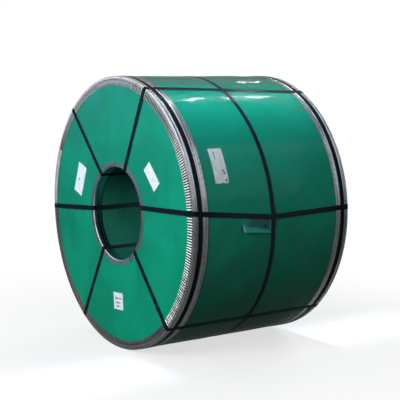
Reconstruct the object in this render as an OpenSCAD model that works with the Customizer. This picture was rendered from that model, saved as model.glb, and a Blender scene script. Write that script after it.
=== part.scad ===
// Packed steel coil, lying with its axis level along Y.
// The front end faces -Y. Angles round the axis start at +X and rise towards +Z.

/* [Wound strip] */
// Width of the strip, which is the length of the wound coil
strip_w = 1200; // [800:10:1600]
// Diameter over the outermost turn
coil_od = 1765; // [1300:5:2000]
// Diameter inside the innermost turn
bore_d = 610; // [508:1:760]
// Radial width of one band of turns on the ends
turn_pitch = 24; // [16:1:60]
// Depth of the groove between two bands of turns
turn_groove = 1.5; // [0.5:0.1:3]

/* [Sheet wrap] */
// Thickness of the sheet round the outside
wrap_t = 1; // [0.6:0.1:2]
// Thickness of the annular sheet on each end
cover_t = 1; // [0.6:0.1:2]
// Thickness of the sheet that lines the bore
liner_t = 1; // [0.6:0.1:2]
// Play between two pieces that lie on each other
fit_gap = 0.2; // [0.1:0.05:0.3]

/* [Edge guards] */
// Thickness of the guard sheet
guard_t = 1.2; // [0.8:0.1:2]
// Width of the outer guard's flange on the end
outer_flange_w = 58; // [40:1:90]
// Width of the outer guard's lip on the wrap
outer_lip_w = 107; // [80:1:150]
// Width of the inner guard's flange on the end
inner_flange_w = 36; // [25:1:60]
// Width of the inner guard's lip in the bore
inner_lip_w = 60; // [30:1:100]
// Length of one pleat along the flange
pleat_pitch = 16.5; // [14:0.5:30]
// Height of the pleats above the flange
pleat_h = 6; // [3:0.5:9]
// Radial run over which a pleat rises from the bend
pleat_rise_w = 12; // [9:1:20]
// Gap between the ends of two neighbouring guard pieces
guard_joint = 2; // [1:0.5:6]
// Length of the overlap where the inner guard's ends meet
lap_l = 70; // [40:5:120]

/* [Straps] */
// Width of the steel strapping
strap_w = 32; // [19:1:38]
// Thickness of the steel strapping
strap_t = 0.9; // [0.6:0.1:1.2]
// Distance of an end hoop's middle from the end of the guard
hoop_inset = 49; // [35:1:60]
// Sideways pull of the first eye strap at the middle hoop
strap_pull_w = 60; // [0:1:80]
// Sideways lean of the eye straps in the bore, against their place on the wrap
strap_lean_w = 37; // [0:1:60]
// Drop of the eye straps on the wrap from the front end to the rear end
strap_drop_w = 72; // [0:1:80]
// Run of the middle hoop towards the front end at the coil's top, and away from it below
hoop_skew_w = 29; // [0:1:80]
// Distance of the middle hoop from the coil's middle, towards the front end
hoop_shift_w = 14; // [0:1:30]
// Length of a strap seal
seal_l = 57; // [40:1:80]
// Thickness of the seal sheet
seal_t = 1.2; // [0.8:0.1:2]
// Length of a notch crimped into a seal's edge
crimp_l = 8; // [4:0.5:12]
// Depth of a notch crimped into a seal's edge
crimp_w = 4; // [3:0.5:8]

/* [Labels] */
// Thickness of the labels
label_t = 0.4; // [0.2:0.1:1]
// Width of the label on the left of the end
left_label_w = 108; // [60:1:150]
// Length of the label on the left of the end
left_label_l = 211; // [120:1:260]
// Width of the label on the right of the end
right_label_w = 85; // [60:1:150]
// Length of the label on the right of the end
right_label_l = 172; // [120:1:260]
// Width of the label low on the end
low_label_w = 117; // [60:1:150]
// Length of the label low on the end
low_label_l = 112; // [60:1:150]
// Width of the label on the wrap
wrap_label_w = 97; // [60:1:150]
// Length of the label on the wrap
wrap_label_l = 222; // [120:1:260]
// Distance of the wrap label's middle from the front end
wrap_label_inset = 232; // [180:1:300]

/* [Wrap tab] */
// Length of the sprung tab along the wrap
tab_l = 225; // [120:5:240]
// Height of the tab round the wrap
tab_h = 82; // [50:1:120]
// Thickness of the tab sheet
tab_t = 0.8; // [0.5:0.1:1.5]
// Lift of the tab's free edge at its open end
tab_lift = 20; // [5:1:30]

/* [Hidden] */
$fn = 96;

// Colours
steel_grey = [0.62, 0.64, 0.66];
sheet_green = [0.05, 0.45, 0.35];
zinc_grey = [0.75, 0.77, 0.78];
strap_black = [0.09, 0.10, 0.12];
paper_white = [0.90, 0.91, 0.93];

// Turns in degrees
full_turn = 360;
half_turn = 180;
quarter_turn = 90;

// Angles round the axis, chosen by hand
eye_angles = [5.9, 66.2, 131.6, 182.3, 239, 313];
strap_lean_shares = [1, 0.5, -0.5, -0.45, -0.5, 0.25];
strap_drop_shares = [0.55, 1, 0, 0, 0, 0];
guard_start_angles = [-47, 5.9, 76, 154, 183, 220];
guard_pleated = [true, true, false, true, false, false];
lap_angle = 311;
hoop_seal_angles = [158, 152, 160];
wrap_label_angle = 23.7;

// Labels on the front end: share of the coil's radius, angle of the place, turn on the end
left_place_share = 0.59;
left_place_angle = 159;
left_turn_angle = -21.5;
right_place_share = 0.578;
right_place_angle = 32.4;
right_turn_angle = 43;
low_place_share = 0.653;
low_place_angle = -88.7;
low_turn_angle = 4.5;

// Shares and counts
crest_share = 0.5;
bend_share = 3;
fold_share = 0.7;
lap_sink_share = 0.5;
crimp_share = 0.22;
tab_closed_share = 0.35;
tab_slack_share = 0.2;
tab_fold_shares = [0.75, 0.45];
tab_cells = [10, 12];
bend_steps = 6;
loop_step_angle = 20;

// Radii, from the wound strip outwards
coil_r = coil_od / 2;
wrap_in = coil_r + fit_gap;
wrap_r = wrap_in + wrap_t;
guard_in = wrap_r + fit_gap;
guard_r = guard_in + guard_t;
end_hoop_in = guard_r + fit_gap;
end_hoop_r = end_hoop_in + strap_t;
middle_hoop_in = wrap_r + fit_gap;
eye_in = end_hoop_r + fit_gap;
eye_r = eye_in + strap_t;
axis_z = end_hoop_r;

// Radii, from the wound strip into the bore
bore_r = bore_d / 2;
liner_r = bore_r - fit_gap;
liner_in = liner_r - liner_t;
lip_r = liner_in - fit_gap;
lip_in = lip_r - guard_t;
eye_bore_r = lip_in - fit_gap;

// Half lengths along the axis
half_w = strip_w / 2;
cover_in = half_w + fit_gap;
cover_z = cover_in + cover_t;
flange_in = cover_z + fit_gap;
flange_z = flange_in + guard_t;
eye_z = flange_z + fit_gap;
pleat_z = flange_z + pleat_h;

// Bends of the guards, which stay clear of the strip's edge
bend_in = bend_share * min(guard_in - coil_r, flange_in - half_w);
bend_r = bend_in + guard_t;
strap_bend = bend_r + eye_in - guard_r;
flange_tip = guard_r - outer_flange_w;
pleat_top_r = guard_r - bend_r - pleat_rise_w;
fold_in = fold_share * bend_in;
fold_out = fold_in + guard_t * (2 - sqrt(2));
lap_sink = lap_sink_share * guard_t;

// Radii between which an eye strap lies flat on the ends
eye_near_r = eye_bore_r + strap_bend;
eye_far_r = eye_in - strap_bend;

// Tilt of the middle hoop, place of the end hoops, half width of a seal, and the reach of cutters
// past what they cut
hoop_tilt = atan(hoop_skew_w / middle_hoop_in);
hoop_z = flange_z - hoop_inset;
seal_edge = strap_w / 2 + fit_gap + seal_t;
overrun = strap_w;

// Angle that a length takes on a circle of radius r
function degrees_of(l, r) = l / r * half_turn / PI;

// Sideways offset of an eye strap on the wrap at the middle hoop and at the rear end
function drop_at(i) = strap_drop_shares[i] * strap_drop_w;
function pull_at(i) = i == 0 ? strap_pull_w : drop_at(i) * (half_w - hoop_shift_w) / (2 * half_w);

// Middle angle of an eye strap where the middle hoop crosses it
function crossing(i) =
    let (ahead = half_w - hoop_shift_w - hoop_skew_w * sin(eye_angles[i]))
    eye_angles[i] - asin(pull_at(i) * ahead / (half_w - hoop_shift_w) / eye_r);
function guard_end(i) = i < 5 ? guard_start_angles[i + 1] : guard_start_angles[0] + full_turn;

// Index of the guard piece that lies under an angle
function guard_at(a, i = 0) =
    i == 5 || (a >= guard_start_angles[i] && a < guard_end(i)) ? i : guard_at(a, i + 1);
function wrapped(a) = a >= guard_start_angles[0] + full_turn ? a - full_turn : a;
function on_pleats(i) = guard_pleated[guard_at(wrapped(eye_angles[i]))];

// Points of an arc about c
function arc(c, r, a0, a1, n = bend_steps) =
    [for (k = [0:n]) let (a = a0 + (a1 - a0) * k / n) c + r * [cos(a), sin(a)]];

// Outward normal of the edge from p to q of a loop that runs anticlockwise
function normal(p, q) = atan2(q.y - p.y, q.x - p.x) - quarter_turn;
function turn(a, b) = (b - a) - full_turn * floor((b - a) / full_turn);

// A loop at the distance r outside a convex ring of centres
function loop(c, r) =
    let (n = len(c))
    [for (k = [0:n - 1])
        let (a = normal(c[(k + n - 1) % n], c[k]), b = normal(c[k], c[(k + 1) % n]))
        each arc(c[k], r, a, a + turn(a, b), 1 + floor(turn(a, b) / loop_step_angle))];

function flipped(points) = [for (k = [len(points) - 1:-1:0]) [points[k].x, -points[k].y]];

// Brings the local frame, with its front along +Z, to the lying coil
module lie() {
    translate([0, 0, axis_z]) rotate([quarter_turn, 0, 0]) children();
}

module tube(r_out, r_in, half) {
    rotate_extrude() translate([r_in, -half]) square([r_out - r_in, 2 * half]);
}

module at_end(front) {
    if (front) children();
    else mirror([0, 0, 1]) children();
}

// Wound strip, with bands of turns on both ends
module steel_coil() {
    bands = floor((coil_r - bore_r) / turn_pitch);
    pitch = (coil_r - bore_r) / bands;
    top = concat(
        [for (k = [0:bands - 1]) each [
            [bore_r + pitch * k, half_w - turn_groove],
            [bore_r + pitch * (k + crest_share), half_w]]],
        [[coil_r, half_w - turn_groove]]);
    color(steel_grey) lie() rotate_extrude() polygon(concat(top, flipped(top)));
}

module outer_wrap() {
    color(sheet_green) lie() tube(wrap_r, wrap_in, flange_z - bend_r);
}

module bore_liner() {
    color(sheet_green) lie() tube(liner_r, liner_in, flange_z - bend_r);
}

// Annular sheet on one end, between the bends of the two guards
module end_cover(front) {
    inner = lip_in + bend_r;
    outer = guard_r - bend_r;
    color(sheet_green) lie() at_end(front) rotate_extrude()
        translate([inner, cover_in]) square([outer - inner, cover_t]);
}

// Section of a smooth outer guard
outer_section = concat(
    [[flange_tip, flange_z]],
    arc([guard_r - bend_r, flange_z - bend_r], bend_r, quarter_turn, 0),
    [[guard_r, flange_z - outer_lip_w], [guard_in, flange_z - outer_lip_w]],
    arc([guard_r - bend_r, flange_z - bend_r], bend_in, 0, quarter_turn),
    [[flange_tip, flange_in]]);

// Section of a pleated outer guard where its flange is raised by h
function pleat_section(h) = [
    [flange_tip, flange_z + h],
    [pleat_top_r, flange_z + h],
    [guard_r - fold_out, flange_z],
    [guard_r, flange_z - fold_out],
    [guard_r, flange_z - outer_lip_w],
    [guard_in, flange_z - outer_lip_w],
    [guard_in, flange_in - fold_in],
    [guard_in - fold_in, flange_in],
    [pleat_top_r, flange_in + h],
    [flange_tip, flange_in + h]];

// Curved strip whose flange is folded up and down along its length
module pleated_guard(a0, a1) {
    pleats = round((a1 - a0) / degrees_of(pleat_pitch, guard_r));
    steps = 2 * pleats;
    rings = [for (s = [0:steps]) pleat_section(s % 2 == 1 ? pleat_h : 0)];
    n = len(rings[0]);
    points = [for (s = [0:steps]) let (a = a0 + (a1 - a0) * s / steps)
        each [for (p = rings[s]) [p.x * cos(a), p.x * sin(a), p.y]]];
    sides = [for (s = [0:steps - 1], k = [0:n - 1])
        let (b = s * n, m = (k + 1) % n) each [
            [b + k, b + n + k, b + m],
            [b + m, b + n + k, b + n + m]]];
    start = [for (k = [0:n / 2 - 2]) each [[k, k + 1, n - 2 - k], [k, n - 2 - k, n - 1 - k]]];
    end = [for (f = start) [for (k = [2:-1:0]) steps * n + f[k]]];
    polyhedron(points, concat(sides, start, end));
}

// One piece of an outer guard ring
module outer_guard(i, front) {
    gap = degrees_of(guard_joint, guard_r);
    a0 = guard_start_angles[i] + gap / 2;
    a1 = guard_end(i) - gap / 2;
    color(zinc_grey) lie() at_end(front)
        if (guard_pleated[i]) pleated_guard(a0, a1);
        else rotate([0, 0, a0]) rotate_extrude(angle = a1 - a0) polygon(outer_section);
}

// Inner guard ring, with the overlap of its two ends on the flange
module inner_guard(front) {
    tip = lip_in + inner_flange_w;
    centre = [lip_in + bend_r, flange_z - bend_r];
    section = concat(
        [[tip, flange_in]],
        arc(centre, bend_in, quarter_turn, half_turn),
        [[lip_r, flange_z - inner_lip_w], [lip_in, flange_z - inner_lip_w]],
        arc(centre, bend_r, half_turn, quarter_turn),
        [[tip, flange_z]]);
    lap = degrees_of(lap_l, tip);
    color(zinc_grey) lie() at_end(front) {
        rotate_extrude() polygon(section);
        rotate([0, 0, lap_angle - lap]) rotate_extrude(angle = lap)
            translate([centre.x, flange_z - lap_sink])
                square([tip - guard_t - centre.x, guard_t + lap_sink]);
    }
}

// Outline of a taut hoop of radius r that rises by lift over each eye strap
module hoop_outline(r, lift) {
    circle(r);
    for (i = [0:5]) {
        apex = [r + lift, strap_w / 2 + fit_gap];
        reach = atan2(apex.y, apex.x) + acos(r / norm(apex));
        rotate(crossing(i)) polygon([
            [0, 0],
            (r - fit_gap) * [cos(reach), -sin(reach)],
            [apex.x, -apex.y],
            apex,
            (r - fit_gap) * [cos(reach), sin(reach)]]);
    }
}

module end_hoop(z) {
    color(strap_black) lie() translate([0, 0, z - strap_w / 2]) difference() {
        cylinder(r = end_hoop_r, h = strap_w);
        translate([0, 0, -overrun]) cylinder(r = end_hoop_in, h = strap_w + 2 * overrun);
    }
}

// The middle hoop rises over the eye straps, and two parallel planes give it its skew
module middle_hoop() {
    reach = hoop_skew_w + strap_w;
    span = 2 * (eye_r + reach);
    lift = eye_r + fit_gap - middle_hoop_in;
    color(strap_black) lie() translate([0, 0, hoop_shift_w]) intersection() {
        translate([0, 0, -reach]) difference() {
            linear_extrude(2 * reach) hoop_outline(middle_hoop_in + strap_t, lift);
            translate([0, 0, -overrun])
                linear_extrude(2 * (reach + overrun)) hoop_outline(middle_hoop_in, lift);
        }
        rotate([hoop_tilt, 0, 0]) cube([span, span, strap_w], center = true);
    }
}

// Centres of the bends of an eye strap that lies on the guards' flanges, or on their pleats
function eye_centres(pleated) =
    let (
        outer = [eye_in - strap_bend, eye_z - strap_bend],
        inner = [eye_bore_r + strap_bend, eye_z - strap_bend + guard_t],
        crest = pleat_z + fit_gap - strap_bend,
        rise = pleated ? [[pleat_top_r, crest], [flange_tip, crest]] : [],
        front = concat([outer], rise, [inner]))
    concat(front, flipped(front));

// Band that an eye strap keeps to: as seen along the axis, then as seen from outside the wrap
module eye_band(pull, lean, drop) {
    reach = pleat_z + overrun;
    edge = strap_w / 2;
    lapped_r = eye_far_r + fit_gap;
    function end_run(far) = [
        [0, lean - edge], [eye_near_r, lean - edge], [eye_far_r, far - edge], [lapped_r, far - edge],
        [lapped_r, far + edge], [eye_far_r, far + edge], [eye_near_r, lean + edge], [0, lean + edge]];
    outline = [
        [-reach, -edge], [-half_w, -edge], [-hoop_shift_w, -edge - pull], [half_w, -edge - drop],
        [reach, -edge - drop], [reach, edge - drop], [half_w, edge - drop],
        [-hoop_shift_w, edge - pull], [-half_w, edge], [-reach, edge]];
    linear_extrude(reach) polygon(end_run(0));
    translate([0, 0, -reach]) linear_extrude(reach + overrun) polygon(end_run(-drop));
    translate([eye_far_r, 0, 0]) rotate([0, quarter_turn, 0])
        linear_extrude(eye_r + overrun - eye_far_r) polygon(outline);
}

// Strap through the bore and round the outside, over both ends
module eye_strap(i) {
    centres = eye_centres(on_pleats(i));
    color(strap_black) lie() rotate([0, 0, eye_angles[i]]) intersection() {
        rotate_extrude() difference() {
            polygon(loop(centres, strap_bend + strap_t));
            polygon(loop(centres, strap_bend));
        }
        eye_band(pull_at(i), strap_lean_shares[i] * strap_lean_w, drop_at(i));
    }
}

// Section across a folded strap seal, with the strap's outer face at y = 0
module seal_section() {
    wall = seal_edge - seal_t;
    difference() {
        translate([-seal_edge, -strap_t])
            square([2 * seal_edge, strap_t + fit_gap + seal_t]);
        translate([-wall, -strap_t - overrun])
            square([2 * wall, strap_t + fit_gap + overrun]);
    }
}

// Carries a section over the length l round a circle of radius r, with its middle at the arc length
module bent(l, middle, r) {
    span = degrees_of(l, r);
    rotate([0, 0, degrees_of(middle, r) - span / 2]) rotate_extrude(angle = span)
        translate([r, 0]) children();
}

// Seals of the three hoops, on the far side of the coil, each with two pairs of crimped notches
module hoop_seals() {
    spots = [hoop_z, hoop_shift_w + hoop_skew_w * sin(hoop_seal_angles[1]), -hoop_z];
    turns = [0, atan(hoop_skew_w * cos(hoop_seal_angles[1]) / middle_hoop_in), 0];
    radii = [end_hoop_r, middle_hoop_in + strap_t, end_hoop_r];
    color(zinc_grey) lie() for (k = [0:2])
        translate([0, 0, spots[k]]) rotate([0, 0, hoop_seal_angles[k]]) rotate([turns[k], 0, 0])
        difference() {
            bent(seal_l, 0, radii[k]) rotate(-quarter_turn) seal_section();
            for (along = [-1, 1], side = [-1, 1])
                bent(crimp_l, along * crimp_share * seal_l, radii[k])
                    translate([-overrun, side * seal_edge - crimp_w])
                        square([2 * overrun, 2 * crimp_w]);
        }
}

// Seals of the eye straps, on the rear end midway between the guards
module eye_seals() {
    color(zinc_grey) lie() mirror([0, 0, 1]) for (i = [0:5]) {
        centres = eye_centres(on_pleats(i));
        inner = centres[len(centres) / 2 - 1];
        outer = centres[len(centres) / 2 - 2];
        slope = atan2(outer.y - inner.y, outer.x - inner.x);
        middle = (inner + outer) / 2 + (strap_bend + strap_t) * [-sin(slope), cos(slope)];
        fall = (strap_lean_shares[i] * strap_lean_w + drop_at(i)) / (eye_far_r - eye_near_r);
        aside = fall * (eye_far_r - middle.x) - drop_at(i);
        rotate([0, 0, eye_angles[i]]) translate([middle.x, aside, middle.y])
            rotate([0, -slope, 0]) rotate([0, 0, -atan(fall)]) difference() {
                rotate([quarter_turn, 0, quarter_turn]) translate([0, 0, -seal_l / 2])
                    linear_extrude(seal_l) seal_section();
                for (along = [-1, 1], side = [-1, 1])
                    translate([along * crimp_share * seal_l, side * seal_edge, -overrun])
                        linear_extrude(2 * overrun) square([crimp_l, 2 * crimp_w], center = true);
            }
    }
}

// Blank label on the front end
module end_label(share, place, tilt, w, l) {
    color(paper_white) lie() rotate([0, 0, place])
        translate([share * coil_r, 0, cover_z + fit_gap]) rotate([0, 0, tilt - place])
            translate([-w / 2, -l / 2, 0]) cube([w, l, label_t]);
}

module label_left() {
    end_label(left_place_share, left_place_angle, left_turn_angle, left_label_w, left_label_l);
}

module label_right() {
    end_label(right_place_share, right_place_angle, right_turn_angle, right_label_w, right_label_l);
}

module label_low() {
    end_label(low_place_share, low_place_angle, low_turn_angle, low_label_w, low_label_l);
}

// Label bent round the wrap
module label_wrap() {
    span = degrees_of(wrap_label_l, wrap_r);
    low_z = flange_z - wrap_label_inset - wrap_label_w / 2;
    color(paper_white) lie() rotate([0, 0, wrap_label_angle - span / 2])
        rotate_extrude(angle = span) translate([wrap_r + fit_gap, low_z])
            square([label_t, wrap_label_w]);
}

// Tab of sheet below the first eye strap, sprung open along its lower edge
module wrap_tab() {
    nu = tab_cells.x;
    nv = tab_cells.y;
    function top_angle(z) =
        eye_angles[0] - asin(pull_at(0) * (half_w - z) / (half_w - hoop_shift_w) / eye_r)
        - degrees_of(strap_w / 2 + fit_gap, wrap_r);
    function point(u, v, out) =
        let (
            z = strap_w + tab_l * u,
            a = top_angle(z) - degrees_of(tab_h * v, wrap_r),
            fold = tab_fold_shares[0] + (tab_fold_shares[1] - tab_fold_shares[0]) * u,
            lip = max(0, v - fold) / (1 - fold),
            flare = tab_slack_share * v * v + (1 - tab_slack_share) * lip * lip,
            lift = tab_lift * flare * (tab_closed_share + (1 - tab_closed_share) * u * u),
            r = wrap_r + fit_gap + lift + out * tab_t)
        [r * cos(a), r * sin(a), z];
    w = nv + 1;
    count = (nu + 1) * w;
    points = [for (out = [0, 1], i = [0:nu], j = [0:nv]) point(i / nu, j / nv, out)];
    lower = [for (i = [0:nu - 1], j = [0:nv - 1]) let (p = i * w + j) each [
        [p, p + 1, p + w], [p + 1, p + w + 1, p + w]]];
    upper = [for (f = lower) [count + f[0], count + f[2], count + f[1]]];
    rim = concat(
        [for (i = [0:nu]) i * w],
        [for (j = [1:nv]) nu * w + j],
        [for (i = [nu - 1:-1:0]) i * w + nv],
        [for (j = [nv - 1:-1:1]) j]);
    n = len(rim);
    edge = [for (k = [0:n - 1]) let (p = rim[k], q = rim[(k + 1) % n]) each [
        [p, q, count + p], [q, count + q, count + p]]];
    color(sheet_green) lie() polyhedron(points, concat(lower, upper, edge));
}

steel_coil();
outer_wrap();
bore_liner();
end_cover(true);  // end_cover_front
end_cover(false);  // end_cover_rear
for (i = [0:5]) outer_guard(i, true);
for (i = [0:5]) outer_guard(i, false);
inner_guard(true);  // inner_guard_front
inner_guard(false);  // inner_guard_rear
end_hoop(hoop_z);  // hoop_front
middle_hoop();  // hoop_middle
end_hoop(-hoop_z);  // hoop_rear
for (i = [0:5]) eye_strap(i);
hoop_seals();
eye_seals();
label_left();
label_right();
label_low();
label_wrap();
wrap_tab();
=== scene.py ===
"""Dressed model of a packed steel coil that lies on its side.

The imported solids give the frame. Every sheet, guard, strap and label that shows is rebuilt here
as a fine surface that lies where its solid lies, and gets the finish of the real material.
Lengths are in millimetres until a mesh is made, and angles round the axis start at +X and rise
towards +Z. The length along the axis is positive towards the front end, which faces -Y.
"""
import logging
import math
from dataclasses import dataclass, field
from enum import Enum

import bpy
import numpy as np
from mathutils import Matrix, Vector


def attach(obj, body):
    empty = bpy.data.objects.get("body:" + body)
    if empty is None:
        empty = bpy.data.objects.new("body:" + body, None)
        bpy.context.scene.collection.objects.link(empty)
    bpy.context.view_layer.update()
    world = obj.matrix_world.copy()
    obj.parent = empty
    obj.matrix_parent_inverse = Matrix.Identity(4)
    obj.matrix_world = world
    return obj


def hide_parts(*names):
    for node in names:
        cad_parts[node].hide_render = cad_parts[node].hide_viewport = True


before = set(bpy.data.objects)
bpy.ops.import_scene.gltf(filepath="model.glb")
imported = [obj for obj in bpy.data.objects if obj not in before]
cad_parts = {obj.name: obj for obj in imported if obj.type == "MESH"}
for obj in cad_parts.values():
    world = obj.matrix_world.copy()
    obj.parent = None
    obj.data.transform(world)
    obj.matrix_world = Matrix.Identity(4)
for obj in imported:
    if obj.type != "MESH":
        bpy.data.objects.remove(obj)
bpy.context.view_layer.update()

LOG = logging.getLogger("steel_coil")
MM = 0.001
SHARP_EDGE = 40.0
FULL_TURN = 2.0 * np.pi

Array = np.ndarray
Material = bpy.types.Material
Socket = bpy.types.NodeSocket
Pair = tuple[float, float]
Triple = tuple[float, float, float]
Quad = tuple[float, float, float, float]
Quads = tuple[Quad, ...]
Colour = Quad


class End(Enum):
    """The two ends of the coil, with their sign along the axis."""

    FRONT = 1
    REAR = -1


class Slot(Enum):
    """Names of material slots, which no piece in this script uses."""

    GREEN = "green_sheet"
    ZINC = "zinc_sheet"
    STRAP = "strap_steel"
    PAPER = "label_paper"


@dataclass(frozen=True)
class CoilSizes:
    """Sizes that several pieces share, as in the part's source."""

    axis_z: float = 886.2
    wrap_in: float = 882.7
    wrap_r: float = 883.7
    wrap_half: float = 597.2
    guard_r: float = 885.1
    guard_t: float = 1.2
    bend_r: float = 5.4
    cover_in: float = 600.2
    cover_z: float = 601.2
    flange_z: float = 602.6
    flange_tip: float = 827.1
    pleat_h: float = 6.0
    pleat_top_r: float = 867.7
    lip_in: float = 302.4
    inner_tip: float = 338.4
    end_hoop_in: float = 885.3
    middle_hoop_in: float = 883.9
    hoop_z: float = 553.6
    eye_in: float = 886.4
    eye_bore_r: float = 302.2
    strap_w: float = 32.0
    strap_t: float = 0.9
    strap_bend: float = 6.7
    fit_gap: float = 0.2
    coil_r: float = 882.5
    half_w: float = 600.0
    eye_angles: tuple[float, ...] = (5.9, 66.2, 131.6, 182.3, 239.0, 313.0)
    eye_on_pleats: tuple[bool, ...] = (True, True, False, True, False, True)
    eye_leans: tuple[float, ...] = (37.0, 18.5, -18.5, -16.65, -18.5, 9.25)
    eye_drops: tuple[float, ...] = (39.6, 72.0, 0.0, 0.0, 0.0, 0.0)
    strap_pull: float = 60.0
    hoop_skew: float = 29.0
    hoop_shift: float = 14.0

    def pull(self, index: int) -> float:
        """Sideways offset in millimetres of an eye strap on the mantle at the middle hoop."""
        straight = self.eye_drops[index] * (self.half_w - self.hoop_shift) / (2.0 * self.half_w)
        return self.strap_pull if index == 0 else straight

    def crossing(self, index: int) -> float:
        """Angle in degrees at which the middle hoop crosses an eye strap."""
        start = self.eye_angles[index]
        run = self.half_w - self.hoop_shift
        share = 1.0 - self.hoop_skew * math.sin(math.radians(start)) / run
        return start - math.degrees(math.asin(self.pull(index) * share / (self.eye_in + self.strap_t)))


SIZES = CoilSizes()


def place(radius: Array, angle: Array, front: Array) -> Array:
    """Bring polar places of the coil to the lying frame, in metres.

    The formula is x = r cos a, y = -front, z = axis height + r sin a.

    Args:
        radius: Distances from the axis in millimetres.
        angle: Angles round the axis in radians.
        front: Lengths along the axis in millimetres, positive to the front end.

    Returns:
        Points with one more axis than the arrays have, for x, y and z.
    """
    r, a, z = np.broadcast_arrays(radius, angle, front)
    return np.stack([r * np.cos(a), -z, SIZES.axis_z + r * np.sin(a)], axis=-1) * MM


def smooth(value: Array, low: float, high: float) -> Array:
    """Smooth step from 0 at low to 1 at high: 3t^2 - 2t^3 of the clipped share t."""
    t = np.clip((value - low) / (high - low), 0.0, 1.0)
    return t * t * (3.0 - 2.0 * t)


@dataclass(frozen=True)
class Ripples:
    """Sum of plane waves over the angle round the axis and one length.

    Each wave is cos(n a + k s + phase), with a whole number n of waves round the axis, so that
    the surface closes, and k drawn between two wave counts a metre.
    """

    seed: int
    count: int
    turns: tuple[int, int]
    per_metre: Pair

    def at(self, angle: Array, length: Array) -> Array:
        """Height of the waves, with about unit spread.

        Args:
            angle: Angles in radians.
            length: Lengths in millimetres, broadcast against the angles.

        Returns:
            Array of heights.
        """
        rng = np.random.default_rng(self.seed)
        turns = rng.integers(self.turns[0], self.turns[1] + 1, self.count)
        waves = rng.uniform(*self.per_metre, self.count) * rng.choice([-1.0, 1.0], self.count)
        phases = rng.uniform(0.0, FULL_TURN, self.count)
        a, s = np.broadcast_arrays(angle, length)
        phase = a[..., None] * turns + s[..., None] * MM * FULL_TURN * waves + phases
        return np.cos(phase).sum(axis=-1) / math.sqrt(self.count / 2.0)


@dataclass
class Patch:
    """A closed mesh of quads with the place of each corner on its sheet.

    Attributes:
        points: Vertices in metres, one row each.
        quads: Vertex numbers of each face.
        uv: Place of each face corner on the sheet, along and across.
        values: Named numbers of each vertex.
    """

    points: Array
    quads: Array
    uv: Array
    values: dict[str, Array] = field(default_factory=dict)

    def outward(self) -> "Patch":
        """Turn the faces outwards, which makes the volume inside them positive."""
        corners = self.points[self.quads]
        first = np.einsum("ij,ij->i", corners[:, 0], np.cross(corners[:, 1], corners[:, 2]))
        second = np.einsum("ij,ij->i", corners[:, 0], np.cross(corners[:, 2], corners[:, 3]))
        if (first + second).sum() < 0.0:
            self.quads = self.quads[:, ::-1]
            self.uv = self.uv[:, ::-1]
        return self

    def keep(self, name: str, share: Array) -> None:
        """Keep a number at each point of a sheet's outer face and at the point behind it."""
        self.values[name] = np.concatenate([share.ravel(), share.ravel()])


def grid_corners(nu: int, nv: int) -> tuple[Array, Array]:
    """Grid numbers of the corners of nu by nv cells.

    Args:
        nu: Cells along the first parameter.
        nv: Cells along the second parameter.

    Returns:
        Two arrays of nu * nv rows and four columns, one for each parameter.
    """
    i, j = np.meshgrid(np.arange(nu), np.arange(nv), indexing="ij")
    ci = np.stack([i, i + 1, i + 1, i], axis=-1).reshape(-1, 4)
    cj = np.stack([j, j, j + 1, j + 1], axis=-1).reshape(-1, 4)
    return ci, cj


def ring_patch(points: Array, along: Array, across: Array) -> Patch:
    """Close a grid both ways: a closed profile carried once round a closed path.

    Args:
        points: Grid of points, path by profile by three.
        along: Lengths along the path, one more than the grid has.
        across: Lengths round the profile, one more than the grid has.

    Returns:
        The closed patch.
    """
    nu, nv = points.shape[:2]
    ci, cj = grid_corners(nu, nv)
    uv = np.stack([along[ci], across[cj]], axis=-1)
    return Patch(points.reshape(-1, 3), (ci % nu) * nv + cj % nv, uv)


def sheet_patch(outer: Array, inner: Array, along: Array, across: Array) -> Patch:
    """Close two facing grids into one sheet, with a rim all round its edge.

    Args:
        outer: Grid of points of the outer face.
        inner: Grid of points of the inner face, in the same order.
        along: Length of each grid line along the first parameter.
        across: Length of each grid line along the second parameter.

    Returns:
        The closed patch.
    """
    nu, nv = outer.shape[:2]
    count = nu * nv
    ci, cj = grid_corners(nu - 1, nv - 1)
    face = ci * nv + cj
    rows, columns = np.arange(nu), np.arange(nv)
    border = np.concatenate([
        rows[:-1] * nv,
        (nu - 1) * nv + columns[:-1],
        rows[:0:-1] * nv + nv - 1,
        columns[:0:-1],
    ])
    following = np.roll(border, -1)
    rim = np.stack([following, border, border + count, following + count], axis=-1)
    uv_grid = np.stack(np.meshgrid(along, across, indexing="ij"), axis=-1).reshape(-1, 2)
    quads = np.concatenate([face, face[:, ::-1] + count, rim])
    points = np.concatenate([outer.reshape(-1, 3), inner.reshape(-1, 3)])
    return Patch(points, quads, uv_grid[quads % count])


def make_piece(name: str, patch: Patch, material: Material, nodes: list[str]) -> None:
    """Make a patch into a piece that stands for its CAD nodes.

    Args:
        name: Name of the piece.
        patch: Closed mesh data.
        material: Finish of the piece.
        nodes: CAD nodes that it stands for.
    """
    patch = patch.outward()
    mesh = bpy.data.meshes.new(name)
    mesh.from_pydata(patch.points, [], patch.quads)
    layer = mesh.uv_layers.new(name="lay")
    layer.uv.foreach_set("vector", patch.uv.astype(np.float32).ravel())
    for key, numbers in patch.values.items():
        mesh.attributes.new(key, "FLOAT", "POINT").data.foreach_set("value", numbers.astype(np.float32).ravel())
    mesh.shade_smooth()
    mesh.set_sharp_from_angle(angle=math.radians(SHARP_EDGE))
    mesh.materials.append(material)
    piece = bpy.data.objects.new(name, mesh)
    bpy.context.scene.collection.objects.link(piece)
    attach(piece, "root")
    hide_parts(*nodes)
    LOG.info("%s: %d faces", name, len(patch.quads))


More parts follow.
